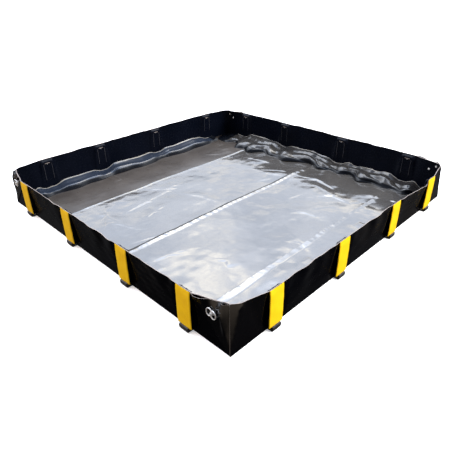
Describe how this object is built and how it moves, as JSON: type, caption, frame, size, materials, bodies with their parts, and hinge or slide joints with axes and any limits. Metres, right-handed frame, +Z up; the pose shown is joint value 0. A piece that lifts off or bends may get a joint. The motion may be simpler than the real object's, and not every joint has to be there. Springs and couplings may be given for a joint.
{
  "type": "spill containment basin",
  "caption": "Square collapsible-wall spill containment basin: glossy black liner, low walls held by hinged uprights in yellow-faced sleeves, folded corners with wing nuts.",
  "frame": {"origin": "centre of the floor's underside, on the ground", "axes": "+Z up; X along the front and back walls, Y along the left and right walls; the corner ears lie on the outside of the left and right walls"},
  "size_m": [2.518, 2.518, 0.272],
  "materials": {
    "liner_wall": "glossy black liner",
    "liner_floor": "glossy black liner, wrinkled",
    "seam": "welded seam",
    "yellow_face": "smooth yellow liner",
    "bracket_metal": "satin",
    "heel_plastic": "moulded",
    "pin_steel": "brushed",
    "stainless": "bright stainless",
    "dark_cap": "black"
  },
  "bodies": {
    "base": {"floor_sheet": "liner_floor", "floor_seam_tapes": "seam", "leg_pocket_patches": "liner_wall", "base_legs": "bracket_metal", "heel_blocks": "heel_plastic", "heel_rivets": "pin_steel", "hinge_pins": "pin_steel", "front_corner_panels": "liner_wall", "back_corner_panels": "liner_wall", "front_skirt": "liner_wall", "right_skirt": "liner_wall", "back_skirt": "liner_wall", "left_skirt": "liner_wall", "left_ear_outer": "liner_wall", "right_ear_outer": "liner_wall"},
    "front_wall": {"front_wall_panel": "liner_wall", "front_uprights": "bracket_metal", "front_sleeves": "liner_wall", "front_sleeve_faces": "yellow_face", "front_inner_patches": "liner_wall", "front_patch_rivets": "pin_steel", "front_top_hem": "liner_wall"},
    "right_wall": {"right_wall_panel": "liner_wall", "right_uprights": "bracket_metal", "right_sleeves": "liner_wall", "right_sleeve_faces": "yellow_face", "right_inner_patches": "liner_wall", "right_patch_rivets": "pin_steel", "right_top_hem": "liner_wall", "right_ear_inner": "liner_wall", "right_corner_bolts": "stainless", "right_washers": "stainless", "right_cap_nuts": "dark_cap"},
    "back_wall": {"back_wall_panel": "liner_wall", "back_uprights": "bracket_metal", "back_sleeves": "liner_wall", "back_sleeve_faces": "yellow_face", "back_inner_patches": "liner_wall", "back_patch_rivets": "pin_steel", "back_top_hem": "liner_wall"},
    "left_wall": {"left_wall_panel": "liner_wall", "left_uprights": "bracket_metal", "left_sleeves": "liner_wall", "left_sleeve_faces": "yellow_face", "left_inner_patches": "liner_wall", "left_patch_rivets": "pin_steel", "left_top_hem": "liner_wall", "left_ear_inner": "liner_wall", "left_corner_bolts": "stainless", "left_washers": "stainless", "left_cap_nuts": "dark_cap"},
    "left_front_wing_nut": {"left_front_wing_nut": "stainless"},
    "left_back_wing_nut": {"left_back_wing_nut": "stainless"},
    "right_front_wing_nut": {"right_front_wing_nut": "stainless"},
    "right_back_wing_nut": {"right_back_wing_nut": "stainless"}
  },
  "joints": [
    {"name": "front_wall_fold", "type": "hinge", "parent": "base", "child": "front_wall", "pos_m": [0, -1.2295, 0.0165], "axis": [-1, 0, 0], "range_deg": [0, 82], "deforming": ["front_skirt", "front_corner_panels", "left_ear_outer", "right_ear_outer"]},
    {"name": "right_wall_fold", "type": "hinge", "parent": "base", "child": "right_wall", "pos_m": [1.2295, 0, 0.0165], "axis": [0, -1, 0], "range_deg": [0, 82], "deforming": ["right_skirt", "right_ear_outer", "front_corner_panels", "back_corner_panels"]},
    {"name": "back_wall_fold", "type": "hinge", "parent": "base", "child": "back_wall", "pos_m": [0, 1.2295, 0.0165], "axis": [1, 0, 0], "range_deg": [0, 82], "deforming": ["back_skirt", "back_corner_panels", "left_ear_outer", "right_ear_outer"]},
    {"name": "left_wall_fold", "type": "hinge", "parent": "base", "child": "left_wall", "pos_m": [-1.2295, 0, 0.0165], "axis": [0, 1, 0], "range_deg": [0, 82], "deforming": ["left_skirt", "left_ear_outer", "front_corner_panels", "back_corner_panels"]},
    {"name": "left_front_wing_nut_spin", "type": "hinge", "parent": "left_wall", "child": "left_front_wing_nut", "pos_m": [-1.231, -1.104, 0.212], "axis": [-1, 0, 0], "continuous": true},
    {"name": "left_back_wing_nut_spin", "type": "hinge", "parent": "left_wall", "child": "left_back_wing_nut", "pos_m": [-1.231, 1.104, 0.212], "axis": [-1, 0, 0], "continuous": true},
    {"name": "right_front_wing_nut_spin", "type": "hinge", "parent": "right_wall", "child": "right_front_wing_nut", "pos_m": [1.231, -1.104, 0.212], "axis": [1, 0, 0], "continuous": true},
    {"name": "right_back_wing_nut_spin", "type": "hinge", "parent": "right_wall", "child": "right_back_wing_nut", "pos_m": [1.231, 1.104, 0.212], "axis": [1, 0, 0], "continuous": true}
  ]
}
